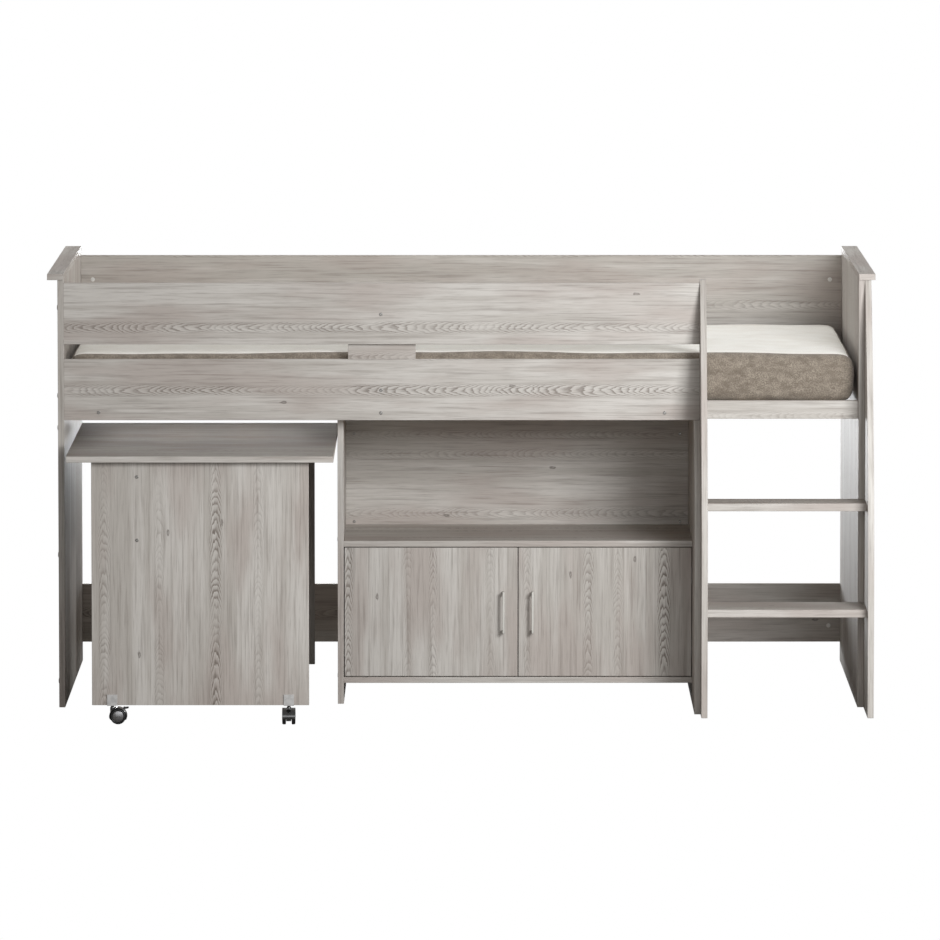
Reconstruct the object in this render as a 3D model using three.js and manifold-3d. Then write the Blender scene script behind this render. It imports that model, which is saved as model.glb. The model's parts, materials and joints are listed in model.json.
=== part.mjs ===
// A mid-height loft bed with a desk on castors, an open shelf, a two-door cupboard and a ladder.
// Millimetres, +Z up. X runs along the bed with the ladder at its +X end, and the bed faces -Y.
// The origin is on the floor, under the middle of the whole bed with its desk pulled out.
// Inside the bed's group, y is the distance behind the front face of the end panels.
import * as THREE from "three";
import { mergeVertices } from "three/addons/utils/BufferGeometryUtils.js";
import Module from "manifold-3d";

const wasm = await Module();
wasm.setup();

// ---- Driving dimensions ----
const BOARD = 15;
const GAP = 0.3;

const INNER_LENGTH = 1950;
const DEPTH = 975;
const PANEL_HEIGHT = 1055;
const CAP_WIDTH = 40;
const CAP_NOSE = 5;

const RAIL_HEIGHT = 150;
const LOWER_RAIL_Z = 710;
const UPPER_RAIL_Z = 897;
const STRETCHER_Z = 50;
const SUPPORT_Z = 712;
const SUPPORT_HEIGHT = 45;
const BATTEN = { x: -278, width: 166, top: 1005 };

const LEDGER = 25;
const SLAT = { count: 11, width: 90, thickness: 12, endGap: 1 };
const MATTRESS = { length: 1930, width: 918, top: 870 };

const LADDER_X = 585;
const LADDER_REACH = 216;
const LADDER_CURVE_FOOT = 264;
const LADDER_BACK = 90;
const LADDER_NECK = 30;
const LADDER_ARC_STEPS = 16;
const TREAD_THICKNESS = 19;
const LOWER_TREAD = { top: 261, depth: 171 };
const UPPER_TREAD = { top: 516, depth: 116 };

const CABINET_X = -305;
const CABINET_FRONT = 70;
const CABINET_BACK = 466;
const CABINET_TOP = 710;
const CABINET_BOTTOM_Z = 52;
const SHELF_Z = 390;
const CABINET_WING = { footReach: 140, topReach: 25, bendZ: 600, straightZ: 330 };

const DOOR_GAP = 2;
const HANDLE = { length: 103, width: 5.5, thickness: 6, stand: 24, inset: 35, legLength: 8 };
const HINGE = { inset: 70, plateLength: 44, plateHeight: 46, plateThickness: 3 };
const HINGE_ARM = { length: 46, height: 15, thickness: 11, doorGap: 1.5 };

const DESK = { x: -955, width: 646, depth: 895, pull: 350, underside: 639 };
const DESK_LEG = { sideInset: 60, endInset: 25, bottom: 46 };
const DESK_STRETCHER = { inset: 163, height: 214 };

const CASTOR = { inset: 49, trail: 14, wheelRadius: 19, wheelWidth: 9, wheelGap: 14, axleRadius: 3 };
const HOOD = { inner: 19.8, outer: 21.6, width: 32, start: -12, end: 192, coreWidth: 12, coreBottom: 10 };
const STEM = { bossRadius: 5.6, bossTop: 40, radius: 4, top: 45.6, foot: 28, hole: 4.4 };
const BRACKET = { width: 25, plateTop: 72, plateThickness: 2, footThickness: 1.5, footDepth: 27 };
const LEVER = { pivotAngle: 52, hubRadius: 2.5, tipRadius: 2.1, reach: 40, tipZ: 39.8, width: 7.4, pinRadius: 1.2 };
const LEVER_EAR = { thickness: 1.6, radius: 3.2, clearance: 0.4 };
const ROUND_STEPS = 18;

// ---- Values worked out from them ----
const HALF_LENGTH = INNER_LENGTH / 2;
const RAIL_BACK = BOARD;
const SUPPORT_BACK = 2 * BOARD;
const SUPPORT_TOP = SUPPORT_Z + SUPPORT_HEIGHT;
const LADDER_INSIDE = LADDER_X + BOARD;
const CABINET_RIGHT = LADDER_X - BOARD;
const CABINET_REAR = CABINET_BACK + BOARD;
const DOOR_OPENING = CABINET_RIGHT - (CABINET_X + BOARD);
const DOOR_WIDTH = (DOOR_OPENING - 3 * DOOR_GAP) / 2;
const DOOR_BOTTOM = CABINET_BOTTOM_Z + BOARD + DOOR_GAP;
const DOOR_TOP = SHELF_Z - DOOR_GAP;
const DESK_FRONT = -DESK.pull;
const FRONT_LEG_Y = DESK_FRONT + DESK_LEG.endInset;
const REAR_LEG_Y = DESK_FRONT + DESK.depth - DESK_LEG.endInset - BOARD;
const LEG_LEFT = DESK.x + DESK_LEG.sideInset;
const LEG_RIGHT = DESK.x + DESK.width - DESK_LEG.sideInset;
// The brake lever of the castor that points forward is the foremost point of the whole bed.
const FOREMOST = FRONT_LEG_Y + BOARD / 2 - LEVER.reach;
const BED_Y = -(DEPTH + FOREMOST) / 2;

// ---- Materials ----
const WOOD = { color: 0xa49c94, roughness: 0.6, metalness: 0 };
const DARK_WOOD = { color: 0x7f7870, roughness: 0.55, metalness: 0 };
const PINE = { color: 0xcdb488, roughness: 0.7, metalness: 0 };
const CLOTH = { color: 0xb5aa9c, roughness: 0.95, metalness: 0 };
const METAL = { color: 0xbcbab6, roughness: 0.35, metalness: 0.9 };
const GREY_PLASTIC = { color: 0xa9a8a6, roughness: 0.5, metalness: 0 };
const BLACK_PLASTIC = { color: 0x1c1c1c, roughness: 0.35, metalness: 0 };

const part = new THREE.Group();
const bed = new THREE.Group();
bed.position.y = BED_Y;
part.add(bed);

// ---- Helpers ----
function mesh(parent, name, geometry, finish) {
  const piece = new THREE.Mesh(geometry, new THREE.MeshStandardMaterial(finish));
  piece.name = name;
  parent.add(piece);
  return piece;
}

// A box between two corners.
function block(x0, x1, y0, y1, z0, z1) {
  const box = new THREE.BoxGeometry(x1 - x0, y1 - y0, z1 - z0);
  return box.translate((x0 + x1) / 2, (y0 + y1) / 2, (z0 + z1) / 2);
}

function board(parent, name, finish, [x0, x1], [y0, y1], [z0, z1]) {
  return mesh(parent, name, block(x0, x1, y0, y1, z0, z1), finish);
}

// An outline in (y, z), given thickness along X from x0.
function sideBoard(outline, x0, thickness, curveSegments = LADDER_ARC_STEPS) {
  const solid = new THREE.ExtrudeGeometry(outline, { depth: thickness, bevelEnabled: false, curveSegments });
  const turn = new THREE.Matrix4().makeBasis(
    new THREE.Vector3(0, 1, 0), new THREE.Vector3(0, 0, 1), new THREE.Vector3(1, 0, 0));
  return solid.applyMatrix4(turn).translate(x0, 0, 0);
}

// An outline in (x, z), given a width along Y about y = 0.
function upright(outline, width) {
  const solid = new THREE.ExtrudeGeometry(
    outline, { depth: width, bevelEnabled: false, curveSegments: ROUND_STEPS });
  return solid.rotateX(Math.PI / 2).translate(0, width / 2, 0);
}

function toSolid(geometry) {
  const bare = geometry.clone();
  bare.deleteAttribute("normal");
  bare.deleteAttribute("uv");
  const merged = mergeVertices(bare, 1e-4);
  return new wasm.Manifold(new wasm.Mesh({
    numProp: 3,
    vertProperties: new Float32Array(merged.attributes.position.array),
    triVerts: new Uint32Array(merged.index.array),
  }));
}

function toGeometry(solid) {
  const result = solid.getMesh();
  const geometry = new THREE.BufferGeometry();
  geometry.setAttribute("position", new THREE.BufferAttribute(new Float32Array(result.vertProperties), 3));
  geometry.setIndex(new THREE.BufferAttribute(new Uint32Array(result.triVerts), 1));
  geometry.computeVertexNormals();
  return geometry;
}

// Joins the first list of geometries and cuts the second list out of them.
function carve(added, removed = []) {
  let solid = toSolid(added[0]);
  for (const geometry of added.slice(1)) solid = solid.add(toSolid(geometry));
  for (const geometry of removed) solid = solid.subtract(toSolid(geometry));
  return toGeometry(solid);
}

// ---- Bed frame ----
function endPanels() {
  for (const [side, sign] of [["left", -1], ["right", 1]]) {
    const panelX = [HALF_LENGTH, HALF_LENGTH + BOARD].map((x) => sign * x).sort((a, b) => a - b);
    const capX = [HALF_LENGTH, HALF_LENGTH + CAP_WIDTH].map((x) => sign * x).sort((a, b) => a - b);
    board(bed, `${side}_end_panel`, WOOD, panelX, [0, DEPTH], [0, PANEL_HEIGHT]);
    board(bed, `${side}_end_cap`, WOOD, capX, [-CAP_NOSE, DEPTH], [PANEL_HEIGHT, PANEL_HEIGHT + BOARD]);
  }
}

function rails() {
  const fullLength = [-HALF_LENGTH, HALF_LENGTH];
  const toLadder = [-HALF_LENGTH, LADDER_X];
  const railTop = UPPER_RAIL_Z + RAIL_HEIGHT;
  const rear = [DEPTH - BOARD, DEPTH];
  board(bed, "upper_guard_rail", WOOD, toLadder, [0, RAIL_BACK], [UPPER_RAIL_Z, railTop]);
  board(bed, "lower_guard_rail", WOOD, toLadder, [0, RAIL_BACK], [LOWER_RAIL_Z, LOWER_RAIL_Z + RAIL_HEIGHT]);
  board(bed, "guard_rail_batten", WOOD, [BATTEN.x, BATTEN.x + BATTEN.width],
    [RAIL_BACK, SUPPORT_BACK], [SUPPORT_TOP, BATTEN.top]);
  board(bed, "front_support_rail", WOOD, fullLength, [RAIL_BACK, SUPPORT_BACK], [SUPPORT_Z, SUPPORT_TOP]);
  board(bed, "back_panel", WOOD, fullLength, rear, [LOWER_RAIL_Z, railTop]);
  board(bed, "rear_stretcher", WOOD, fullLength, rear, [STRETCHER_Z, STRETCHER_Z + RAIL_HEIGHT]);
}

function mattressBase() {
  const fullLength = [-HALF_LENGTH, HALF_LENGTH];
  const ledgerTop = SUPPORT_Z + LEDGER;
  const slatTop = ledgerTop + SLAT.thickness;
  const rearFace = DEPTH - BOARD;
  const heights = [SUPPORT_Z, ledgerTop];
  board(bed, "front_slat_ledger", PINE, fullLength, [SUPPORT_BACK, SUPPORT_BACK + LEDGER], heights);
  board(bed, "rear_slat_ledger", PINE, fullLength, [rearFace - LEDGER, rearFace], heights);
  const pitch = INNER_LENGTH / SLAT.count;
  for (let i = 0; i < SLAT.count; i += 1) {
    const middle = -HALF_LENGTH + (i + 0.5) * pitch;
    board(bed, `slat_${String(i + 1).padStart(2, "0")}`, PINE,
      [middle - SLAT.width / 2, middle + SLAT.width / 2],
      [SUPPORT_BACK + SLAT.endGap, rearFace - SLAT.endGap], [ledgerTop, slatTop]);
  }
  const middleY = (SUPPORT_BACK + rearFace) / 2;
  board(bed, "mattress", CLOTH, [-MATTRESS.length / 2, MATTRESS.length / 2],
    [middleY - MATTRESS.width / 2, middleY + MATTRESS.width / 2], [slatTop + GAP, MATTRESS.top]);
}

// ---- Ladder ----
// The front edge is upright from the floor, then sweeps back to the bed's front face at the top.
function ladderOutline(backEdge) {
  const outline = new THREE.Shape();
  outline.moveTo(LADDER_BACK, 0);
  outline.lineTo(-LADDER_REACH, 0);
  outline.lineTo(-LADDER_REACH, LADDER_CURVE_FOOT);
  const bend = (LADDER_CURVE_FOOT + PANEL_HEIGHT) / 2;
  outline.quadraticCurveTo(-LADDER_REACH, bend, 0, PANEL_HEIGHT);
  for (const [y, z] of backEdge) outline.lineTo(y, z);
  outline.closePath();
  return outline;
}

function ladder() {
  // The left upright is notched round the front support rail and is slim beside the mattress.
  const notched = [[LADDER_NECK, PANEL_HEIGHT], [LADDER_NECK, SUPPORT_TOP],
    [RAIL_BACK, SUPPORT_TOP], [RAIL_BACK, SUPPORT_Z], [LADDER_BACK, SUPPORT_Z]];
  mesh(bed, "ladder_left_upright", sideBoard(ladderOutline(notched), LADDER_X, BOARD), WOOD);
  const straight = [[LADDER_BACK, PANEL_HEIGHT]];
  const outside = HALF_LENGTH + BOARD;
  mesh(bed, "ladder_right_upright", sideBoard(ladderOutline(straight), outside, BOARD), WOOD);
  for (const [name, tread] of [["lower_tread", LOWER_TREAD], ["upper_tread", UPPER_TREAD]]) {
    board(bed, name, WOOD, [LADDER_INSIDE, outside], [-tread.depth, 0],
      [tread.top - TREAD_THICKNESS, tread.top]);
  }
}

// ---- Shelf and cupboard ----
// The right side reaches forward past the bed's front face, beside the ladder.
function cabinetWing() {
  const { footReach, topReach, bendZ, straightZ } = CABINET_WING;
  const outline = new THREE.Shape();
  outline.moveTo(CABINET_REAR, 0);
  outline.lineTo(-footReach, 0);
  outline.lineTo(-footReach, straightZ);
  outline.quadraticCurveTo(-footReach, bendZ, -topReach, CABINET_TOP);
  outline.lineTo(CABINET_REAR, CABINET_TOP);
  outline.closePath();
  return sideBoard(outline, CABINET_RIGHT, BOARD);
}

function cabinet() {
  const inside = [CABINET_X + BOARD, CABINET_RIGHT];
  const depth = [CABINET_FRONT, CABINET_BACK];
  board(bed, "cabinet_left_side", WOOD, [CABINET_X, inside[0]], [CABINET_FRONT, CABINET_REAR], [0, CABINET_TOP]);
  mesh(bed, "cabinet_right_side", cabinetWing(), WOOD);
  board(bed, "cabinet_bottom", WOOD, inside, depth, [CABINET_BOTTOM_Z, CABINET_BOTTOM_Z + BOARD]);
  board(bed, "cabinet_shelf", WOOD, inside, depth, [SHELF_Z, SHELF_Z + BOARD]);
  board(bed, "cabinet_back", WOOD, inside, [CABINET_BACK, CABINET_REAR], [CABINET_BOTTOM_Z, CABINET_TOP]);
}

// A bar handle on two short legs, standing in front of the door's face.
function handle(x, z) {
  const face = CABINET_FRONT;
  const front = face - HANDLE.stand;
  const half = HANDLE.width / 2;
  const top = z + HANDLE.length / 2;
  const bottom = z - HANDLE.length / 2;
  const outline = new THREE.Shape();
  outline.moveTo(face, top);
  outline.lineTo(front, top);
  outline.lineTo(front, bottom);
  outline.lineTo(face, bottom);
  outline.lineTo(face, bottom + HANDLE.legLength);
  outline.lineTo(front + HANDLE.thickness, bottom + HANDLE.legLength);
  outline.lineTo(front + HANDLE.thickness, top - HANDLE.legLength);
  outline.lineTo(face, top - HANDLE.legLength);
  outline.closePath();
  return sideBoard(outline, x - half, HANDLE.width);
}

// A concealed hinge's mounting plate and arm, on the inner face of a cabinet side.
function hinge(faceX, inward, z) {
  const armFront = CABINET_FRONT + BOARD + HINGE_ARM.doorGap;
  const armBack = armFront + HINGE_ARM.length;
  const plate = [faceX, faceX + inward * HINGE.plateThickness].sort((a, b) => a - b);
  const arm = [faceX, faceX + inward * HINGE_ARM.thickness].sort((a, b) => a - b);
  return carve([
    block(...plate, armBack - HINGE.plateLength, armBack, z - HINGE.plateHeight / 2, z + HINGE.plateHeight / 2),
    block(...arm, armFront, armBack - 2 * HINGE.plateThickness, z - HINGE_ARM.height / 2, z + HINGE_ARM.height / 2),
  ]);
}

function doors() {
  const leftEdge = CABINET_X + BOARD + DOOR_GAP;
  const rightEdge = CABINET_RIGHT - DOOR_GAP;
  const middleZ = (DOOR_BOTTOM + DOOR_TOP) / 2;
  const leaves = [
    { side: "left", x: leftEdge, handleX: leftEdge + DOOR_WIDTH - HANDLE.inset, face: leftEdge - DOOR_GAP, inward: 1 },
    { side: "right", x: rightEdge - DOOR_WIDTH, handleX: rightEdge - DOOR_WIDTH + HANDLE.inset,
      face: CABINET_RIGHT, inward: -1 },
  ];
  for (const leaf of leaves) {
    board(bed, `${leaf.side}_door`, WOOD, [leaf.x, leaf.x + DOOR_WIDTH],
      [CABINET_FRONT, CABINET_FRONT + BOARD], [DOOR_BOTTOM, DOOR_TOP]);
    mesh(bed, `${leaf.side}_door_handle`, handle(leaf.handleX, middleZ), METAL);
    for (const [level, z] of [["lower", DOOR_BOTTOM + HINGE.inset], ["upper", DOOR_TOP - HINGE.inset]]) {
      mesh(bed, `${leaf.side}_door_${level}_hinge`, hinge(leaf.face, leaf.inward, z), METAL);
    }
  }
}

// ---- Desk ----
function desk() {
  const top = [DESK.underside, DESK.underside + BOARD];
  const legX = [LEG_LEFT, LEG_RIGHT];
  const legZ = [DESK_LEG.bottom, DESK.underside];
  const stretcherX = DESK.x + DESK_STRETCHER.inset;
  board(bed, "desk_top", DARK_WOOD, [DESK.x, DESK.x + DESK.width], [DESK_FRONT, DESK_FRONT + DESK.depth], top);
  board(bed, "desk_front_leg", WOOD, legX, [FRONT_LEG_Y, FRONT_LEG_Y + BOARD], legZ);
  board(bed, "desk_rear_leg", WOOD, legX, [REAR_LEG_Y, REAR_LEG_Y + BOARD], legZ);
  board(bed, "desk_stretcher", WOOD, [stretcherX, stretcherX + BOARD], [FRONT_LEG_Y + BOARD, REAR_LEG_Y],
    [DESK.underside - DESK_STRETCHER.height, DESK.underside]);
}

// ---- Castors ----
// In a castor's own frame the swivel axis is Z, the wheels trail along +X and the axle lies along Y.
const AXLE_Z = CASTOR.wheelRadius;
const LEVER_PIVOT_RADIUS = HOOD.outer + LEVER_EAR.clearance + LEVER.hubRadius;
const LEVER_PIVOT = {
  x: CASTOR.trail + LEVER_PIVOT_RADIUS * Math.cos(THREE.MathUtils.degToRad(LEVER.pivotAngle)),
  z: AXLE_Z + LEVER_PIVOT_RADIUS * Math.sin(THREE.MathUtils.degToRad(LEVER.pivotAngle)),
};

// A plate on the leg's outer face with a foot under the leg, bored for the castor's stem.
function bracket(x, legOuterY, outward) {
  const plateY = [legOuterY, legOuterY + outward * BRACKET.plateThickness].sort((a, b) => a - b);
  const footY = [plateY[0], plateY[1], plateY[0] - outward * BRACKET.footDepth,
    plateY[1] - outward * BRACKET.footDepth].sort((a, b) => a - b);
  const footSpan = outward < 0 ? [plateY[0], footY[3]] : [footY[0], plateY[1]];
  const half = BRACKET.width / 2;
  const footBottom = DESK_LEG.bottom - BRACKET.footThickness;
  const stemY = legOuterY - outward * BOARD / 2;
  const hole = new THREE.CylinderGeometry(STEM.hole, STEM.hole, 4 * BRACKET.footThickness, ROUND_STEPS);
  hole.rotateX(Math.PI / 2).translate(x, stemY, DESK_LEG.bottom);
  return carve([
    block(x - half, x + half, ...plateY, footBottom, BRACKET.plateTop),
    block(x - half, x + half, ...footSpan, footBottom, DESK_LEG.bottom),
  ], [hole]);
}

function arcBand(inner, outer, from, to) {
  const start = THREE.MathUtils.degToRad(from);
  const end = THREE.MathUtils.degToRad(to);
  const band = new THREE.Shape();
  band.absarc(CASTOR.trail, AXLE_Z, outer, start, end, false);
  band.absarc(CASTOR.trail, AXLE_Z, inner, end, start, true);
  band.closePath();
  return band;
}

// A disc between the wheels, flat at its bottom.
function coreOutline() {
  const drop = Math.asin((AXLE_Z - HOOD.coreBottom) / HOOD.outer);
  const core = new THREE.Shape();
  core.absarc(CASTOR.trail, AXLE_Z, HOOD.outer, -drop, Math.PI + drop, false);
  core.closePath();
  return core;
}

function axleRod(x, z, radius, length) {
  return new THREE.CylinderGeometry(radius, radius, length, ROUND_STEPS).translate(x, 0, z);
}

function leverEar(side) {
  const ear = new THREE.Shape();
  ear.absarc(LEVER_PIVOT.x, LEVER_PIVOT.z, LEVER_EAR.radius, 0, 2 * Math.PI, false);
  const offset = side * (LEVER.width / 2 + LEVER_EAR.clearance + LEVER_EAR.thickness / 2);
  return upright(ear, LEVER_EAR.thickness).translate(0, offset, 0);
}

function housing(braked) {
  const stem = new THREE.LatheGeometry([
    [0, STEM.foot], [STEM.bossRadius, STEM.foot], [STEM.bossRadius, STEM.bossTop],
    [STEM.radius, STEM.bossTop + 1], [STEM.radius, STEM.top], [0, STEM.top],
  ].map(([r, z]) => new THREE.Vector2(r, z)), ROUND_STEPS).rotateX(Math.PI / 2);
  const added = [
    upright(arcBand(HOOD.inner, HOOD.outer, HOOD.start, HOOD.end), HOOD.width),
    upright(coreOutline(), HOOD.coreWidth),
    stem,
  ];
  const removed = [axleRod(CASTOR.trail, AXLE_Z, CASTOR.axleRadius + GAP, HOOD.width)];
  if (braked) {
    added.push(leverEar(-1), leverEar(1));
    removed.push(axleRod(LEVER_PIVOT.x, LEVER_PIVOT.z, LEVER.pinRadius + GAP, HOOD.width));
  }
  return carve(added, removed);
}

// Two discs on one axle, turned about Y.
function wheels() {
  const half = CASTOR.wheelGap / 2;
  const outer = half + CASTOR.wheelWidth;
  const r = CASTOR.wheelRadius;
  const rightHalf = [[CASTOR.axleRadius, half], [r - 1, half], [r, half + 1], [r, outer - 3], [r - 3, outer]];
  const leftHalf = rightHalf.map(([radius, y]) => [radius, -y]).reverse();
  const profile = [[0, -outer], ...leftHalf, ...rightHalf, [0, outer]];
  const turned = new THREE.LatheGeometry(profile.map(([radius, y]) => new THREE.Vector2(radius, y)), ROUND_STEPS);
  return turned.translate(CASTOR.trail, 0, AXLE_Z);
}

// A tapered pedal on two trunnions that sit in the housing's ears.
function lever() {
  const tip = { x: LEVER.reach - LEVER.tipRadius, z: LEVER.tipZ };
  const run = Math.hypot(tip.x - LEVER_PIVOT.x, tip.z - LEVER_PIVOT.z);
  const slope = Math.atan2(tip.z - LEVER_PIVOT.z, tip.x - LEVER_PIVOT.x);
  const splay = Math.acos((LEVER.hubRadius - LEVER.tipRadius) / run);
  const pedal = new THREE.Shape();
  pedal.absarc(LEVER_PIVOT.x, LEVER_PIVOT.z, LEVER.hubRadius, slope + splay, slope - splay + 2 * Math.PI, false);
  pedal.absarc(tip.x, tip.z, LEVER.tipRadius, slope - splay, slope + splay, false);
  pedal.closePath();
  const pinLength = LEVER.width + 2 * (LEVER_EAR.clearance + LEVER_EAR.thickness);
  return carve([upright(pedal, LEVER.width), axleRod(LEVER_PIVOT.x, LEVER_PIVOT.z, LEVER.pinRadius, pinLength)]);
}

function castors() {
  const leftX = LEG_LEFT + CASTOR.inset;
  const rightX = LEG_RIGHT - CASTOR.inset;
  const frontEnd = { y: FRONT_LEG_Y + BOARD / 2, face: FRONT_LEG_Y, outward: -1, braked: true };
  const rearEnd = { y: REAR_LEG_Y + BOARD / 2, face: REAR_LEG_Y + BOARD, outward: 1, braked: false };
  const places = [
    { name: "front_left", x: leftX, end: frontEnd, heading: 0 },
    { name: "front_right", x: rightX, end: frontEnd, heading: -Math.PI / 2 },
    { name: "rear_left", x: leftX, end: rearEnd, heading: Math.PI / 2 },
    { name: "rear_right", x: rightX, end: rearEnd, heading: Math.PI / 2 },
  ];
  for (const { name, x, end, heading } of places) {
    mesh(bed, `${name}_castor_bracket`, bracket(x, end.face, end.outward), GREY_PLASTIC);
    const castor = new THREE.Group();
    castor.position.set(x, end.y, 0);
    castor.rotation.z = heading;
    bed.add(castor);
    mesh(castor, `${name}_castor_housing`, housing(end.braked), BLACK_PLASTIC);
    mesh(castor, `${name}_castor_wheels`, wheels(), BLACK_PLASTIC);
    if (end.braked) mesh(castor, `${name}_brake_lever`, lever(), BLACK_PLASTIC);
  }
}

endPanels();
rails();
mattressBase();
ladder();
cabinet();
doors();
desk();
castors();

export default part;
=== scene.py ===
"""The looks of the loft bed with desk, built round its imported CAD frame.

Metres, +Z up. X runs along the bed with the ladder at its +X end, and the bed faces -Y.
"""

import json
import math
import random

import bmesh
import bpy
from mathutils import Matrix, Vector, noise

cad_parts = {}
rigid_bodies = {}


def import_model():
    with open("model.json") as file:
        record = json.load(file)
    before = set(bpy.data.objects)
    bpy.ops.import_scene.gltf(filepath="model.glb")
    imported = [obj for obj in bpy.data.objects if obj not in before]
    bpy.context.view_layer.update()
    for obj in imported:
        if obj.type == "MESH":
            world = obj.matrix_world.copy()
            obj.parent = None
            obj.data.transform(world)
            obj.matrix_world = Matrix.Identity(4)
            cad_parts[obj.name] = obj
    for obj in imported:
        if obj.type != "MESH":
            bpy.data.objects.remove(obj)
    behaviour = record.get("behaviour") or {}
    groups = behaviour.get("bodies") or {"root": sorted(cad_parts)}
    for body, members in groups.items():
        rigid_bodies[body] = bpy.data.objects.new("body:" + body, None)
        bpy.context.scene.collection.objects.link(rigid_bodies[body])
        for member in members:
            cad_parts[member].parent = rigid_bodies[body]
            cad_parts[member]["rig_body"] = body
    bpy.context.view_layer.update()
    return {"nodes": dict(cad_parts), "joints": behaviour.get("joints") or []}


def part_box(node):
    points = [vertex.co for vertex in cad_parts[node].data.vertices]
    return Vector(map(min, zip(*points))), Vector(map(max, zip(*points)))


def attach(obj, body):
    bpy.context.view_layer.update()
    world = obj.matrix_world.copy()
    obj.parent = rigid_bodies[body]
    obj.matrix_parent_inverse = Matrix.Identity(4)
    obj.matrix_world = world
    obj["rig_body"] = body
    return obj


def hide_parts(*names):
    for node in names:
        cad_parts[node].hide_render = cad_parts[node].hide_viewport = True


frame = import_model()

JOINTS = {joint["name"]: joint for joint in frame["joints"]}
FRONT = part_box("left_end_panel")[0].y
AXES = {"x": 0, "y": 1, "z": 2}

# ---- Sizes that the CAD leaves to the looks ----
EDGE_ROUND = 0.0008
SMALL_ROUND = 0.0004
METAL_ROUND = 0.0012
SMOOTH_ANGLE = math.radians(12)
FORM_ANGLE = math.radians(30)
ROUND_STEPS = 64
WELD = 1e-6

CAMERA_DISTANCE = 20.719
CAMERA_HEIGHT = 2.5961
CAMERA_TILT = 5.538
CAMERA_PAN = 0.0592
CAMERA_LENS = 324.6

# ---- Which way the grain runs on each board ----
GRAIN = {
    "left_end_panel": "z",
    "right_end_panel": "z",
    "left_end_cap": "y",
    "right_end_cap": "y",
    "upper_guard_rail": "x",
    "lower_guard_rail": "x",
    "guard_rail_batten": "x",
    "front_support_rail": "x",
    "back_panel": "x",
    "rear_stretcher": "x",
    "ladder_left_upright": "z",
    "ladder_right_upright": "z",
    "lower_tread": "x",
    "upper_tread": "x",
    "cabinet_left_side": "z",
    "cabinet_right_side": "z",
    "cabinet_bottom": "x",
    "cabinet_shelf": "x",
    "cabinet_back": "x",
    "left_door": "z",
    "right_door": "z",
    "desk_front_leg": "z",
    "desk_rear_leg": "z",
    "desk_stretcher": "y",
}
CORNERS = ("front_left", "front_right", "rear_left", "rear_right")


# ---- Node trees ----
class Graph:
    """A material's node tree. Each call adds one node and gives back what the next one needs."""

    def __init__(self, name):
        self.material = bpy.data.materials.new(name)
        self.material.use_nodes = True
        self.tree = self.material.node_tree
        self.shader = self.tree.nodes["Principled BSDF"]

    def put(self, socket, value):
        if isinstance(value, bpy.types.NodeSocket):
            self.tree.links.new(value, socket)
        else:
            socket.default_value = value

    def node(self, kind, inputs=(), **settings):
        made = self.tree.nodes.new(kind)
        for key, value in settings.items():
            setattr(made, key, value)
        for key, value in dict(inputs).items():
            self.put(made.inputs[key], value)
        return made

    def math(self, operation, *values, clamp=False):
        made = self.node("ShaderNodeMath", enumerate(values), operation=operation, use_clamp=clamp)
        return made.outputs[0]

    def vector(self, x, y, z=0.0):
        return self.node("ShaderNodeCombineXYZ", {0: x, 1: y, 2: z}).outputs[0]

    def noise(self, vector, detail=2.0, roughness=0.5, dimensions="2D"):
        inputs = {"Vector": vector, "Scale": 1.0, "Detail": detail, "Roughness": roughness}
        return self.node("ShaderNodeTexNoise", inputs, noise_dimensions=dimensions).outputs["Fac"]

    def noise_at(self, point, scales, detail=2.0, roughness=0.5):
        """Noise in the solid; scales are its lumps to the metre along x, y and z."""
        where = self.vector(*[self.math("MULTIPLY", p, s) for p, s in zip(point, scales)])
        return self.noise(where, detail, roughness, dimensions="3D")

    def ramp(self, value, low, high, to_low=0.0, to_high=1.0, smooth=True):
        """The value from low to high, mapped to to_low to to_high."""
        kind = "SMOOTHSTEP" if smooth else "LINEAR"
        inputs = {0: value, 1: low, 2: high, 3: to_low, 4: to_high}
        return self.node("ShaderNodeMapRange", inputs, interpolation_type=kind).outputs[0]

    def blend(self, factor, a, b, kind="MIX"):
        made = self.node("ShaderNodeMix", {0: factor, 6: a, 7: b}, data_type="RGBA", blend_type=kind)
        return made.outputs[2]

    def bump(self, height, strength, distance):
        inputs = {"Height": height, "Strength": strength, "Distance": distance}
        return self.node("ShaderNodeBump", inputs).outputs[0]

    def place(self):
        """The point on the piece, in metres, split into x, y and z."""
        where = self.node("ShaderNodeTexCoord").outputs["Object"]
        return self.node("ShaderNodeSeparateXYZ", {0: where}).outputs

    def shade(self, **sockets):
        for key, value in sockets.items():
            self.put(self.shader.inputs[key.replace("_", " ")], value)
        return self.material


def colour(red, green, blue):
    """A screen colour from 0 to 255 as the linear colour that the shader takes."""
    linear = []
    for channel in (red, green, blue):
        share = channel / 255
        linear.append(share / 12.92 if share <= 0.04045 else ((share + 0.055) / 1.055) ** 2.4)
    return (*linear, 1.0)


# ---- Wood ----
STAVE_COUNT = 8.5  # staves to the metre, across the grain
FLAME_PITCH = 0.021  # along the grain, from one pointed arch to the next
FLAME_HALF = 0.0135  # from a stave's heart to where its arches fade
FLAME_DROP = 2.0  # how many pitches an arch falls back over that distance


def stretched(g, u, v, along, across, detail=2.0, roughness=0.5):
    """Noise drawn out along the grain; along and across are its lumps to the metre."""
    where = g.vector(g.math("MULTIPLY", u, along), g.math("MULTIPLY", v, across))
    return g.noise(where, detail, roughness)


def centred(g, value, size):
    """A noise moved to lie about 0, at the given size."""
    return g.math("MULTIPLY", g.math("SUBTRACT", value, 0.5), size)


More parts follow.
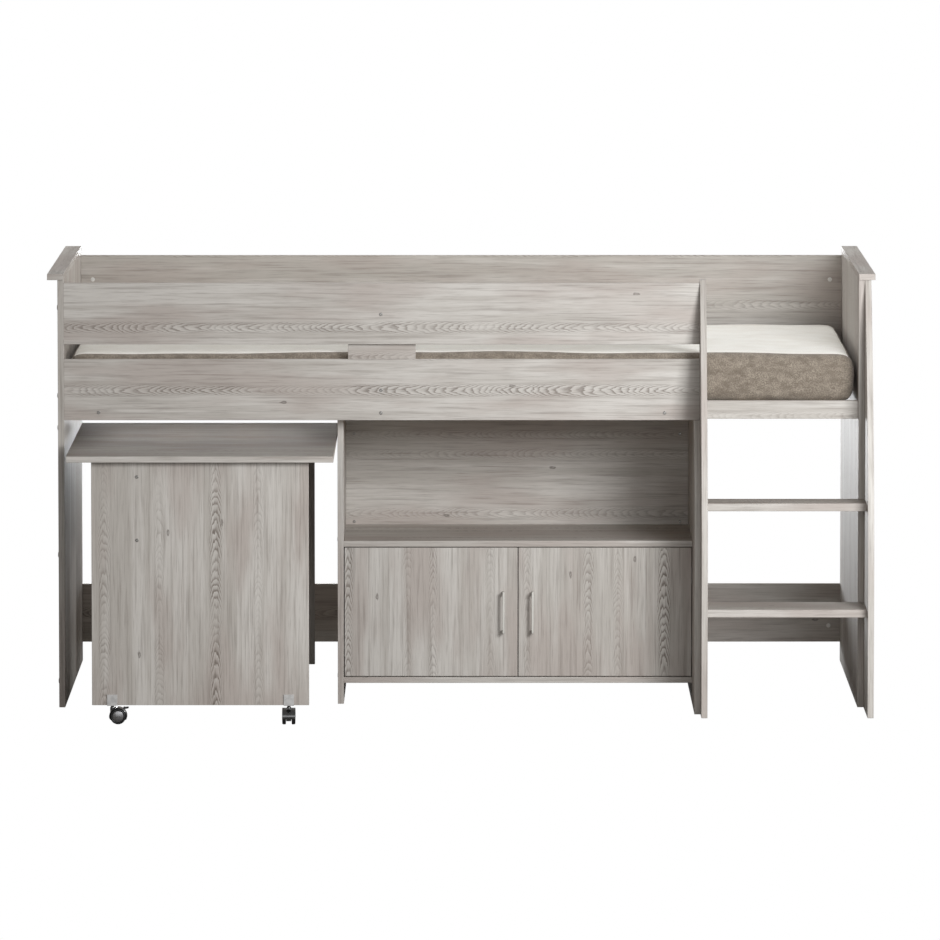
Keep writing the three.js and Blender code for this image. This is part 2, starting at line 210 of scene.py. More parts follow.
def flames(g, u, v, fibre):
    """The pointed arches down the heart of each flat-sawn stave: their dark and light lines."""
    stave = g.node("ShaderNodeTexVoronoi", {"W": g.math("MULTIPLY", v, STAVE_COUNT), "Scale": 1.0,
                   "Randomness": 0.75}, voronoi_dimensions="1D")
    chance = g.node("ShaderNodeSeparateColor", {0: stave.outputs["Color"]}).outputs
    off_heart = g.math("DIVIDE", stave.outputs["Distance"], STAVE_COUNT)
    bend = g.noise(g.vector(g.math("MULTIPLY", u, 5), g.math("MULTIPLY", chance[2], 60)), 2.0)
    aside = g.math("DIVIDE", g.math("ADD", off_heart, centred(g, bend, 0.012)), FLAME_HALF)
    fall = g.math("MULTIPLY", g.math("POWER", aside, 2.0), FLAME_DROP)
    slow = g.noise(g.vector(g.math("MULTIPLY", u, 3.2), g.math("MULTIPLY", chance[0], 50)), 2.0)
    climb = g.math("ADD", g.math("DIVIDE", u, FLAME_PITCH), centred(g, slow, 7.0))
    phase = g.math("SUBTRACT", climb, fall)
    phase = g.math("ADD", phase, centred(g, stretched(g, u, v, 26, 120, 3.0, 0.6), 1.3))
    share = g.math("FRACT", phase)
    dark = g.math("MULTIPLY", g.ramp(share, 0.35, 0.9), g.ramp(share, 0.9, 1.0, 1.0, 0.0))
    light = g.math("MULTIPLY", g.ramp(share, 0.0, 0.08), g.ramp(share, 0.08, 0.3, 1.0, 0.0))
    fade = g.math("MULTIPLY", g.ramp(aside, 0.75, 1.35, 1.0, 0.0), g.ramp(chance[1], 0.3, 0.75, 0.3, 1.0))
    fade = g.math("MULTIPLY", fade, g.ramp(stretched(g, u, v, 7, 1), 0.3, 0.6, 0.35, 1.0))
    fade = g.math("MULTIPLY", fade, g.ramp(fibre, 0.25, 0.6, 0.6, 1.1))
    return g.math("MULTIPLY", dark, fade), g.math("MULTIPLY", light, fade), chance


def knots(g, u, v):
    """Small scattered knots, longer along the grain than across it, with a darker rim."""
    where = g.vector(g.math("MULTIPLY", u, 3.4), g.math("MULTIPLY", v, 8.0))
    cell = g.node("ShaderNodeTexVoronoi", {"Vector": where, "Scale": 1.0}, voronoi_dimensions="2D")
    chance = g.node("ShaderNodeSeparateColor", {0: cell.outputs["Color"]}).outputs[0]
    away = g.math("ADD", cell.outputs["Distance"], centred(g, stretched(g, u, v, 90, 240), 0.04))
    rim = g.math("MULTIPLY", g.ramp(away, 0.004, 0.018, 0.6, 1.0), g.ramp(away, 0.018, 0.034, 1.0, 0.0))
    return g.math("MULTIPLY", rim, g.ramp(chance, 0.72, 0.74, 0.0, 0.7))


def wood(name, tones, figure, roughness):
    """Printed or planed pine: tones are its light, middle, warm and line colours."""
    light_tone, middle, warm, line_tone = tones
    g = Graph(name)
    where = g.node("ShaderNodeUVMap", uv_map="grain").outputs[0]
    u, v, _ = g.node("ShaderNodeSeparateXYZ", {0: where}).outputs
    fibre = stretched(g, u, v, 14, 520, 3.0, 0.65)
    dark, light, chance = flames(g, u, v, fibre)
    thread = stretched(g, u, v, 4.5, 150, 4.0, 0.6)
    streak = stretched(g, u, v, 1.5, 38, 4.0, 0.6)
    cloud = stretched(g, u, v, 2.2, 9, 3.0)

    shift = centred(g, chance[2], 0.2)
    tone = g.blend(g.ramp(g.math("ADD", streak, shift), 0.32, 0.68), light_tone, middle)
    tone = g.blend(g.ramp(cloud, 0.42, 0.66, 0.0, 0.85), tone, warm)
    tone = g.blend(g.ramp(thread, 0.46, 0.78, 0.0, 0.46), tone, line_tone)
    tone = g.blend(g.ramp(fibre, 0.48, 0.8, 0.0, 0.38), tone, line_tone)
    tone = g.blend(g.math("MULTIPLY", light, 0.6 * figure), tone, light_tone)
    rings = g.math("MULTIPLY", dark, figure, clamp=True)
    tone = g.blend(rings, tone, line_tone)
    deep = tuple(0.62 * channel for channel in line_tone[:3]) + (1,)
    tone = g.blend(g.math("MULTIPLY", knots(g, u, v), figure), tone, deep)
    height = g.math("SUBTRACT", g.math("MULTIPLY", fibre, -1.0), g.math("MULTIPLY", rings, 0.5))
    return g.shade(Base_Color=tone, Roughness=g.ramp(fibre, 0.3, 0.7, roughness - 0.05, roughness + 0.08),
                   Normal=g.bump(height, 0.25, 0.0002))


GREY_PINE = (colour(196, 191, 185), colour(177, 171, 164), colour(173, 163, 156), colour(114, 104, 96))
# A darker copy of the grey pine for the worktop's faces, whose edge band stays grey pine: partly painted
# shade, darkening the worktop top towards the shade it lies in under the bed.
SHADE_DARKENED_PINE = (colour(150, 144, 137), colour(133, 127, 120), colour(129, 119, 111), colour(86, 79, 72))
RAW_PINE = (colour(228, 205, 168), colour(219, 191, 148), colour(206, 170, 122), colour(176, 132, 84))


# ---- Metals and plastics ----
def brushed_metal(name, tone, roughness, direction, metallic=1.0):
    """Metal, bare or lacquered, with fine scratches running along one axis."""
    g = Graph(name)
    stretch = [900.0, 900.0, 900.0]
    stretch[AXES[direction]] = 18.0
    scratch = g.noise_at(g.place(), stretch)
    worn = g.blend(g.ramp(scratch, 0.3, 0.7, 0.0, 0.35), tone, colour(120, 117, 113))
    return g.shade(Base_Color=worn, Metallic=metallic,
                   Roughness=g.ramp(scratch, 0.3, 0.7, roughness - 0.07, roughness + 0.1),
                   Normal=g.bump(scratch, 0.2, 0.00005))


def moulded_plastic(name, tone, roughness, grain=0.00003, coat=0.0, ior=1.5):
    """Plastic with the faint texture of its mould and slight wear in its gloss."""
    g = Graph(name)
    where = g.place()
    fine = g.noise_at(where, (2600, 2600, 2600))
    broad = g.noise_at(where, (90, 90, 90), 3.0)
    darker = tuple(0.8 * channel for channel in tone[:3]) + (1,)
    return g.shade(Base_Color=g.blend(g.ramp(broad, 0.35, 0.7), tone, darker),
                   Roughness=g.ramp(broad, 0.3, 0.7, roughness - 0.06, roughness + 0.08),
                   Coat_Weight=coat, Coat_Roughness=0.12, IOR=ior, Normal=g.bump(fine, 0.3, grain))


# ---- Mattress fabrics ----
LOOP_LENGTH = 0.0032
LOOP_WIDTH = 0.0024


def knitted_top(name):
    """White stretch knit: rows of small loops with a soft nap, and painted shade in the hollows between the
    loops.
    """
    g = Graph(name)
    where = g.place()
    rows = g.math("SINE", g.math("MULTIPLY", where[0], 2 * math.pi / LOOP_LENGTH))
    wales = g.math("SINE", g.math("MULTIPLY", where[1], 2 * math.pi / LOOP_WIDTH))
    loops = g.math("MULTIPLY", rows, wales)
    nap = g.noise_at(where, (700, 700, 700), 3.0)
    cloud = g.noise_at(where, (14, 14, 14))
    tone = g.blend(g.ramp(cloud, 0.35, 0.7, 0.0, 0.8), colour(247, 244, 236), colour(238, 233, 223))
    # Painted shade: the white darkens towards grey where the loops' bump height is low, in the hollows
    # between them.
    tone = g.blend(g.ramp(loops, -1.0, 0.4, 0.3, 0.0), tone, colour(198, 193, 182))
    return g.shade(Base_Color=tone, Roughness=0.92, Sheen_Weight=0.25, Sheen_Roughness=0.5,
                   Normal=g.bump(g.math("ADD", loops, nap), 0.35, 0.0004))


def brushed_border(name):
    """Taupe plush: short tufts lying every way, brushed into lighter and darker strokes."""
    g = Graph(name)
    where = g.place()
    tuft = g.noise_at(where, (420, 420, 420), 4.0, 0.7)
    stroke = g.noise_at(where, (34, 34, 60), 4.0, 0.65)
    tone = g.blend(g.ramp(tuft, 0.3, 0.72), colour(106, 96, 85), colour(164, 153, 139))
    tone = g.blend(g.ramp(stroke, 0.44, 0.64, 0.0, 0.55), tone, colour(104, 93, 82))
    tone = g.blend(g.ramp(stroke, 0.3, 0.44, 0.3, 0.0), tone, colour(178, 167, 152))
    return g.shade(Base_Color=tone, Roughness=0.97, Sheen_Weight=0.12, Sheen_Roughness=0.5,
                   Normal=g.bump(tuft, 0.9, 0.0016))


MATERIALS = {
    "board": wood("grey_pine_board", GREY_PINE, 1.0, 0.5),
    "edge": wood("grey_pine_edge_band", GREY_PINE, 0.3, 0.46),
    # The worktop's faces take the darker pine: partly painted shade from the bed above it.
    "worktop": wood("worktop_board_painted_shade", SHADE_DARKENED_PINE, 0.9, 0.5),
    "pine": wood("raw_pine", RAW_PINE, 0.75, 0.68),
    "handle": brushed_metal("handle_metal", colour(214, 211, 204), 0.42, "z", 0.25),
    "steel": brushed_metal("hinge_steel", colour(190, 190, 188), 0.3, "y"),
    "screw": brushed_metal("screw_steel", colour(160, 158, 155), 0.3, "x"),
    "bracket": moulded_plastic("bracket_plastic", colour(192, 190, 188), 0.45),
    "cap": moulded_plastic("cover_cap_plastic", colour(176, 169, 162), 0.5),
    "cover": moulded_plastic("cam_cover_plastic", colour(232, 230, 226), 0.5),
    "castor": moulded_plastic("castor_plastic", colour(24, 24, 25), 0.2, coat=1.0, ior=1.75),
    "tyre": moulded_plastic("castor_tyre", colour(24, 24, 25), 0.4),
    "hub": brushed_metal("castor_hub", colour(150, 150, 152), 0.3, "x"),
    "knit": knitted_top("mattress_top_knit"),
    "plush": brushed_border("mattress_border_plush"),
}


# ---- Meshes ----
def piece(name, bm, body, materials, replaced=()):
    """Makes the mesh an object of the part that rides on a CAD body."""
    mesh = bpy.data.meshes.new(name)
    bm.to_mesh(mesh)
    bm.free()
    return piece_of(name, mesh, body, materials, replaced)


def piece_of(name, mesh, body, materials, replaced=()):
    for key in materials:
        mesh.materials.append(MATERIALS[key])
    obj = bpy.data.objects.new(name, mesh)
    bpy.context.scene.collection.objects.link(obj)
    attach(obj, body)
    if replaced:
        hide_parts(*replaced)
    return obj


def cad_mesh(node):
    """A CAD node's mesh as clean flat faces."""
    bm = bmesh.new()
    bm.from_mesh(frame["nodes"][node].data)
    bmesh.ops.remove_doubles(bm, verts=bm.verts, dist=WELD)
    bmesh.ops.dissolve_limit(bm, angle_limit=math.radians(0.3), verts=bm.verts, edges=bm.edges)
    return bm


def round_edges(bm, size, segments=2, sharper_than=SMOOTH_ANGLE):
    """Rounds every sharp edge, and leaves the flat faces flat."""
    sharp = [e for e in bm.edges if e.is_manifold and e.calc_face_angle(0.0) > sharper_than]
    made = bmesh.ops.bevel(bm, geom=sharp, offset=size, segments=segments, profile=0.5,
                           affect="EDGES", clamp_overlap=True)
    rounded = set(made["faces"])
    for face in bm.faces:
        face.smooth = True
    for edge in bm.edges:
        curved = [face in rounded for face in edge.link_faces]
        edge.smooth = all(curved) or (not any(curved) and edge.calc_face_angle(0.0) < SMOOTH_ANGLE)


def map_grain(bm, low, high, grain, shift):
    """Lays the wood along the grain on the faces, with its arches pointing up, and along the edge bands."""
    size = high - low
    along = AXES[grain]
    thick = min(range(3), key=lambda axis: size[axis])
    across = 3 - along - thick
    layer = bm.loops.layers.uv.new("grain")
    for face in bm.faces:
        on_face = abs(face.normal[thick]) > 0.7
        if on_face:
            axes = (along, across)
        else:
            run = along if abs(face.normal[along]) < abs(face.normal[across]) else across
            axes = (run, thick)
        face.material_index = 0 if on_face else 1
        side = 3.0 if on_face and face.normal[thick] < 0 else 0.0
        up = -1 if axes[0] == AXES["z"] else 1
        for loop in face.loops:
            point = loop.vert.co
            loop[layer].uv = (up * point[axes[0]] + shift.x + side, point[axes[1]] + shift.y)


def boards():
    order = random.Random(7)
    for node, grain in GRAIN.items():
        shift = Vector((order.uniform(0, 9), order.uniform(0, 9)))
        bm = cad_mesh(node)
        round_edges(bm, EDGE_ROUND)
        map_grain(bm, *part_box(node), grain, shift)
        body = frame["nodes"][node]["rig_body"]
        piece(f"{node}_board", bm, body, ("board", "edge"), [node])
    bm = cad_mesh("desk_top")
    round_edges(bm, EDGE_ROUND)
    map_grain(bm, *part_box("desk_top"), "x", Vector((2.1, 4.4)))
    piece("desk_top_board", bm, "desk", ("worktop", "edge"), ["desk_top"])


def slatted_base():
    order = random.Random(11)
    names = sorted(n for n in frame["nodes"] if n.startswith("slat_") or n.endswith("ledger"))
    for node in names:
        low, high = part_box(node)
        bm = cad_mesh(node)
        round_edges(bm, 2 * EDGE_ROUND)
        grain = "y" if node.startswith("slat_") else "x"
        map_grain(bm, low, high, grain, Vector((order.uniform(0, 9), order.uniform(0, 9))))
        piece(f"{node}_wood", bm, "bed_frame", ("pine", "pine"), [node])


# ---- Fasteners ----
def turned(bm, profile, matrix, steps=ROUND_STEPS):
    """Turns (radius, height) points about Z. A radius of 0 closes the surface."""
    rings = []
    for radius, height in profile:
        count = 1 if radius == 0 else steps
        ring = []
        for i in range(count):
            angle = 2 * math.pi * i / steps
            point = Vector((radius * math.cos(angle), radius * math.sin(angle), height))
            ring.append(bm.verts.new(matrix @ point))
        rings.append(ring)
    for lower, upper in zip(rings, rings[1:]):
        for i in range(steps):
            corners = [lower[i % len(lower)], lower[(i + 1) % len(lower)],
                       upper[(i + 1) % len(upper)], upper[i % len(upper)]]
            unique = list(dict.fromkeys(corners))
            bm.faces.new(unique).smooth = True


def facing(point, normal):
    """The matrix that stands +Z on a point, along a normal."""
    turn = Vector(normal).to_track_quat("Z", "Y").to_matrix().to_4x4()
    return Matrix.Translation(point) @ turn


def screw_head(bm, matrix, radius, height, steps=24):
    """A low pan head with a cross recess."""
    arm, half = 0.55 * radius, 0.11 * radius
    sunk = height - 0.5 * radius
    cross = [(arm, half), (half, half), (half, arm), (-half, arm), (-half, half), (-arm, half),
             (-arm, -half), (-half, -half), (-half, -arm), (half, -arm), (half, -half), (arm, -half)]

    def ring(points, level):
        return [bm.verts.new(matrix @ Vector((x, y, level))) for x, y in points]

    def circle(size):
        angles = [2 * math.pi * i / steps for i in range(steps)]
        return [(size * math.cos(a), size * math.sin(a)) for a in angles]

    levels = [(radius, -height), (radius, 0.45 * height), (0.93 * radius, 0.8 * height),
              (0.78 * radius, height)]
    rings = [ring(circle(size), level) for size, level in levels]
    for lower, upper in zip(rings, rings[1:]):
        for i in range(steps):
            j = (i + 1) % steps
            bm.faces.new((lower[i], lower[j], upper[j], upper[i])).smooth = True
    rim, floor = ring(cross, height), ring(cross, sunk)
    edges = [bm.edges.get((rings[-1][i], rings[-1][(i + 1) % steps])) for i in range(steps)]
    for i in range(len(cross)):
        j = (i + 1) % len(cross)
        bm.faces.new((rim[j], rim[i], floor[i], floor[j]))
        edges.append(bm.edges.get((rim[i], rim[j])))
    bmesh.ops.triangle_fill(bm, edges=edges, use_beauty=True)
    bm.faces.new(floor)
    bm.faces.new(reversed(rings[0]))


def screws(name, body, places, radius=0.0042, height=0.0014):
    """One piece holding a group of like screws; places are (point, outward normal)."""
    bm = bmesh.new()
    for point, normal in places:
        screw_head(bm, facing(point, normal), radius, height)
    bmesh.ops.recalc_face_normals(bm, faces=bm.faces)
    return piece(name, bm, body, ("screw",))


def caps(name, body, places, radius, height=0.0012, key="cap"):
    """Domed plastic covers with a shallow groove round the rim."""
    bm = bmesh.new()
    profile = [(0, -height), (radius, -height), (radius, 0.35 * height), (0.96 * radius, 0.7 * height),
               (0.86 * radius, 0.75 * height), (0.83 * radius, 0.6 * height), (0.8 * radius, 0.8 * height),
               (0.5 * radius, height), (0, height)]
    for point, normal in places:
        turned(bm, profile, facing(point, normal), 32)
    bmesh.ops.recalc_face_normals(bm, faces=bm.faces)
    return piece(name, bm, body, (key,))


RAIL_SCREWS = [(-0.197, 0.9706), (-0.197, 0.7837), (-0.197, 0.728), (-0.890, 0.729), (0.499, 0.728)]
DESK_SCREWS = (0.602, 0.448)
PANEL_CAPS = (0.986, 0.769, 0.690, 0.376, 0.064)
SIDE_CAPS = (0.404, 0.065)
CAP_SETBACK = 0.022
CAM_INSET = 0.030


def fasteners():
    to_front, to_back = (0, -1, 0), (0, 1, 0)
    to_left, to_right = (-1, 0, 0), (1, 0, 0)
    screws("rail_screws", "bed_frame", [(Vector((x, FRONT, z)), to_front) for x, z in RAIL_SCREWS])

    low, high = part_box("desk_stretcher")
    middle = (low.x + high.x) / 2
    leg_front, leg_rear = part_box("desk_front_leg")[0].y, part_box("desk_rear_leg")[1].y
    desk = [(Vector((middle, leg_front, z)), to_front) for z in DESK_SCREWS]
    desk += [(Vector((middle, leg_rear, z)), to_back) for z in DESK_SCREWS]
    screws("desk_screws", "desk", desk)

    rear_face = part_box("back_panel")[0].y
    panel_top, stretcher_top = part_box("back_panel")[1].z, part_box("rear_stretcher")[1].z
    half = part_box("right_end_panel")[0].x
    cams = [(Vector((side * (half - CAM_INSET), rear_face, z)), to_front)
            for side in (-1, 1) for z in (panel_top - 0.062, panel_top - 0.275, stretcher_top - 0.108)]
    caps("cam_covers", "bed_frame", cams, 0.0055, key="cover")

    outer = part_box("right_end_panel")[1].x
    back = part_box("left_end_panel")[1].y
    ends = []
    for side, normal in ((-1, to_left), (1, to_right)):
        for z in PANEL_CAPS:
            rows = (FRONT + CAP_SETBACK, back - CAP_SETBACK) if side < 0 or z > 0.7 else (back - CAP_SETBACK,)
            ends += [(Vector((side * outer, y, z)), normal) for y in rows]
    caps("end_panel_caps", "bed_frame", ends, 0.0065, 0.0022)

    side_low, side_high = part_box("cabinet_left_side")
    places = [(Vector((side_low.x, y, z)), to_left) for z in SIDE_CAPS
              for y in (side_low.y + 0.05, side_high.y - 0.05)]
    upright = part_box("ladder_left_upright")
    places.append((Vector((upright[0].x, FRONT - 0.045, 0.459)), to_left))
    caps("side_caps", "bed_frame", places, 0.006)

    back_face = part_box("cabinet_back")[0].y
    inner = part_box("cabinet_left_side")[1].x
    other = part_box("cabinet_right_side")[0].x
    screws("cabinet_back_screws", "bed_frame",
           [(Vector((x, back_face, z)), to_front)
            for x in (inner + 0.021, other - 0.021) for z in (0.634, 0.412)], radius=0.0036)
    screws("cabinet_rear_screws", "bed_frame",
           [(Vector((x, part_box("cabinet_back")[1].y, z)), to_back)
            for x in (inner + 0.1, 0, other - 0.1) for z in (0.0595, 0.3975)])


# ---- Doors ----
CUP_RADIUS = 0.0175
CUP_SETBACK = 0.0215
WING_OFFSET = 0.35 * CUP_SETBACK
WING_SIZE = (0.012, 0.0012, 0.062)


def hinge_cup(door, centre):
    """The sunk cup of a concealed hinge with its flange and two screws, on the door's inner face."""
    bm = bmesh.new()
    flange = [(0, -0.0115), (0.0145, -0.0115), (0.0158, -0.0105), (0.0162, 0.0004), (CUP_RADIUS, 0.0009),
              (CUP_RADIUS, -0.0006)]
    turned(bm, flange, facing(centre, (0, 1, 0)))
    aside = WING_OFFSET * door
    bmesh.ops.create_cube(bm, size=1.0, matrix=Matrix.Translation(centre + Vector((aside, 0.0003, 0)))
                          @ Matrix.Diagonal((*WING_SIZE, 1)))
    for lift in (-0.026, 0.026):
        screw_head(bm, facing(centre + Vector((aside, 0.0009, lift)), (0, 1, 0)), 0.0034, 0.001)
    bmesh.ops.recalc_face_normals(bm, faces=bm.faces)
    return bm


def doors():
    for side, sign in (("left", 1), ("right", -1)):
        low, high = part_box(f"{side}_door")
        edge = low.x if sign > 0 else high.x
        body = f"{side}_door"

        bm = cad_mesh(f"{side}_door_handle")
        round_edges(bm, METAL_ROUND, 4)
        piece(f"{side}_handle_bar", bm, body, ("handle",), [f"{side}_door_handle"])
        bar_low, bar_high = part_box(f"{side}_door_handle")
        middle = (bar_low.x + bar_high.x) / 2
        screws(f"{side}_handle_screws", body,
               [(Vector((middle, high.y, z)), (0, 1, 0)) for z in (bar_low.z + 0.004, bar_high.z - 0.004)])

        for level in ("lower", "upper"):
            node = f"{side}_door_{level}_hinge"
            arm_low, arm_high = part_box(node)
            height = (arm_low.z + arm_high.z) / 2
            bm = cad_mesh(node)
            round_edges(bm, METAL_ROUND / 2, 3)
            piece(f"{node}_arm", bm, "bed_frame", ("steel",), [node])
            inner = arm_high.x if sign > 0 else arm_low.x
            plate = (arm_low.x if sign > 0 else arm_high.x) + sign * 0.003
            arm_screws = [(Vector((inner, arm_high.y - back, height)), (sign, 0, 0))
                          for back in (0.016, 0.036)]
            plate_screws = [(Vector((plate, arm_high.y - 0.022, height + lift)), (sign, 0, 0))
                            for lift in (-0.016, 0.016)]
            screws(f"{node}_screws", "bed_frame", arm_screws + plate_screws, radius=0.0034, height=0.001)
            cup = hinge_cup(sign, Vector((edge + sign * CUP_SETBACK, high.y, height)))
            piece(f"{node}_cup", cup, body, ("steel",))


# ---- Castors ----
# Each is made with its swivel axis on Z, its wheels trailing along +X and its axle along Y.
TRAIL = 0.014
WHEEL_RADIUS = 0.019
WHEEL_INNER = 0.007
WHEEL_OUTER = 0.016
HUB_RADIUS = 0.0145
HUB_DOME = 0.0018
HOOD_INNER = 0.0198
HOOD_OUTER = 0.0216
HOOD_WIDTH = 0.032
CORE_WIDTH = 0.012
CORE_BOTTOM = 0.010
STEM_TOP = 0.0456
LEVER_REACH = 0.040
LEVER_WIDTH = 0.0074


def prism(outline, width, shift=0.0):
    """A closed (x, z) outline given a width along Y."""
    bm = bmesh.new()
    front = [bm.verts.new((x, shift - width / 2, z)) for x, z in outline]
    back = [bm.verts.new((x, shift + width / 2, z)) for x, z in outline]
    count = len(outline)
    bm.faces.new(front)
    bm.faces.new(reversed(back))
    for i in range(count):
        j = (i + 1) % count
        bm.faces.new((front[j], front[i], back[i], back[j]))
    bmesh.ops.recalc_face_normals(bm, faces=bm.faces)
    return bm


def arc(centre, radius, start, end, steps):
    angles = [math.radians(start + (end - start) * i / steps) for i in range(steps + 1)]
    return [(centre[0] + radius * math.cos(a), centre[1] + radius * math.sin(a)) for a in angles]


def joined(solids, name):
    """One mesh from several closed solids."""
    objects = []
    for bm in solids:
        mesh = bpy.data.meshes.new(name)
        bm.to_mesh(mesh)
        bm.free()
        objects.append(bpy.data.objects.new(name, mesh))
        bpy.context.scene.collection.objects.link(objects[-1])
    base, others = objects[0], objects[1:]
    for other in others:
        join = base.modifiers.new("join", "BOOLEAN")
        join.operation, join.solver, join.object = "UNION", "EXACT", other
    result = bpy.data.meshes.new_from_object(base.evaluated_get(bpy.context.evaluated_depsgraph_get()))
    for obj in objects:
        bpy.data.objects.remove(obj)
    return result


def castor_housing(braked):
    axle = (TRAIL, WHEEL_RADIUS)
    band = arc(axle, HOOD_OUTER, -12, 192, 56) + arc(axle, HOOD_INNER, 192, -12, 56)
    hood = prism(band, HOOD_WIDTH)
    round_edges(hood, 0.0006, 2, FORM_ANGLE)
    drop = math.degrees(math.asin((WHEEL_RADIUS - CORE_BOTTOM) / HOOD_OUTER))
    core = prism(arc(axle, HOOD_OUTER - 0.0001, -drop, 180 + drop, 64), CORE_WIDTH)
    round_edges(core, 0.0005, 2, FORM_ANGLE)
    boss = bmesh.new()
    turned(boss, [(0, 0.028), (0.0056, 0.028), (0.0056, 0.0388), (0.0050, 0.0397), (0, 0.0400)],
           Matrix.Identity(4), 40)
    bmesh.ops.recalc_face_normals(boss, faces=boss.faces)
    solids = [hood, core, boss]
    if braked:
        pivot = lever_pivot()
        for side in (-1, 1):
            ear = prism(arc(pivot, 0.0032, 0, 345, 23), 0.0016, side * (LEVER_WIDTH / 2 + 0.0012))
            solids.append(ear)
    return joined(solids, "castor_housing_shape")


def lever_pivot():
    """Where the brake lever turns, in a castor's own frame, from its joint."""
    swivel, brake = JOINTS["front_left_castor_swivel"]["pos_m"], JOINTS["front_left_brake"]["pos_m"]
    return (math.dist(brake[:2], swivel[:2]), brake[2])


def lever_shape():
    pivot = lever_pivot()
    tip = (LEVER_REACH - 0.0021, 0.0398)
    slope = math.degrees(math.atan2(tip[1] - pivot[1], tip[0] - pivot[0]))
    outline = arc(pivot, 0.0025, slope + 90, slope + 270, 16) + arc(tip, 0.0021, slope - 90, slope + 90, 14)
    bm = prism(outline, LEVER_WIDTH)
    round_edges(bm, 0.0007, 3, FORM_ANGLE)
    return bm


def wheel_profile():
    """One wheel's section from its inner face to its outer face: a rounded tyre with a recessed side."""
    r, inner, outer = WHEEL_RADIUS, WHEEL_INNER, WHEEL_OUTER
    return [(0.003, inner), (r - 0.004, inner), (r - 0.0012, inner + 0.0002),
            (r - 0.0003, inner + 0.0009), (r, inner + 0.002), (r, outer - 0.003),
            (r - 0.0004, outer - 0.0014), (r - 0.0016, outer - 0.0004), (r - 0.003, outer - 0.0001),
            (HUB_RADIUS + 0.0004, outer - 0.0003), (HUB_RADIUS, outer - 0.0012),
            (HUB_RADIUS, outer - 0.0037), (0.003, outer - 0.0037)]


def hub_profile():
    """A plain cap, domed outwards from its rim."""
    outer = WHEEL_OUTER
    rim = HUB_RADIUS - 0.0002
    dome = [(rim * share, outer - 0.0003 - HUB_DOME * share ** 2)
            for share in (0.96, 0.85, 0.7, 0.5, 0.3, 0.15, 0)]
    return [(0, outer - 0.0036), (rim, outer - 0.0036), (rim, outer - 0.0026)] + dome


def wheel_pair(profile, closed):
    bm = bmesh.new()
    loop = profile + profile[:1] if closed else profile
    for side in (-1, 1):
        matrix = Matrix.Translation((TRAIL, 0, WHEEL_RADIUS)) @ Matrix.Rotation(-side * math.pi / 2, 4, "X")
        turned(bm, loop, matrix)
    bmesh.ops.remove_doubles(bm, verts=bm.verts, dist=WELD)
    bmesh.ops.recalc_face_normals(bm, faces=bm.faces)
    return bm


def axle_and_stem(with_axle):
    bm = bmesh.new()
    if with_axle:
        matrix = Matrix.Translation((TRAIL, 0, WHEEL_RADIUS)) @ Matrix.Rotation(math.pi / 2, 4, "X")
        half = WHEEL_OUTER - 0.003
        turned(bm, [(0, -half), (0.003, -half), (0.003, half), (0, half)], matrix, 32)
    else:
        turned(bm, [(0, 0.0395), (0.0054, 0.0395), (0.0054, 0.0402), (0.0044, 0.0410), (0.0040, 0.0412),
                    (0.0040, STEM_TOP), (0, STEM_TOP)], Matrix.Identity(4), 40)
    bmesh.ops.recalc_face_normals(bm, faces=bm.faces)
    return bm


def castors():
    for corner in CORNERS:
        swivel = Vector(JOINTS[f"{corner}_castor_swivel"]["pos_m"])
        axle = Vector(JOINTS[f"{corner}_wheel_spin"]["pos_m"])
        heading = math.atan2(axle.y - swivel.y, axle.x - swivel.x)
        place = Matrix.Translation((swivel.x, swivel.y, 0)) @ Matrix.Rotation(heading, 4, "Z")
        braked = corner.startswith("front")

        def put(name, bm, body, materials, replaced=()):
            bmesh.ops.transform(bm, matrix=place, verts=bm.verts)
            return piece(name, bm, body, materials, replaced)

        housing = castor_housing(braked)
        housing.transform(place)
        piece_of(f"{corner}_castor_hood", housing, f"{corner}_castor", ("castor",),
                 [f"{corner}_castor_housing"])
        put(f"{corner}_castor_stem", axle_and_stem(False), f"{corner}_castor", ("steel",))
        put(f"{corner}_castor_axle", axle_and_stem(True), f"{corner}_wheels", ("steel",))
        put(f"{corner}_castor_tyres", wheel_pair(wheel_profile(), True), f"{corner}_wheels",
            ("tyre",), [f"{corner}_castor_wheels"])
        put(f"{corner}_castor_hubs", wheel_pair(hub_profile(), False), f"{corner}_wheels",
            ("hub",))
        if braked:
            put(f"{corner}_brake_pedal", lever_shape(), f"{corner}_lever", ("castor",),
                [f"{corner}_brake_lever"])

        bm = cad_mesh(f"{corner}_castor_bracket")
        round_edges(bm, SMALL_ROUND, 2)
        piece(f"{corner}_bracket_plate", bm, "desk", ("bracket",),
              [f"{corner}_castor_bracket"])


# ---- Mattress ----
MATTRESS_CELL = 0.016
MATTRESS_ROUND = 0.024
MATTRESS_FOOT_ROUND = 0.009
SWELL = 0.007
CLOTH_SHARE = 0.002
CLOTH_PRESSURE = 4.0
CLOTH_FRAMES = 16
SEAM_BELOW_TOP = 0.0035
SEAM_DIP = 0.0018
SEAM_WANDER = 0.0045
SIDE_SAG = 0.004
END_SAG = 0.006
END_SEAM_DROP = 0.0035
TOP_RISE = 0.004
CROWN = 0.004


def spread(low, high, cell):
    count = max(2, round((high - low) / cell))
    return [low + (high - low) * i / count for i in range(count + 1)]


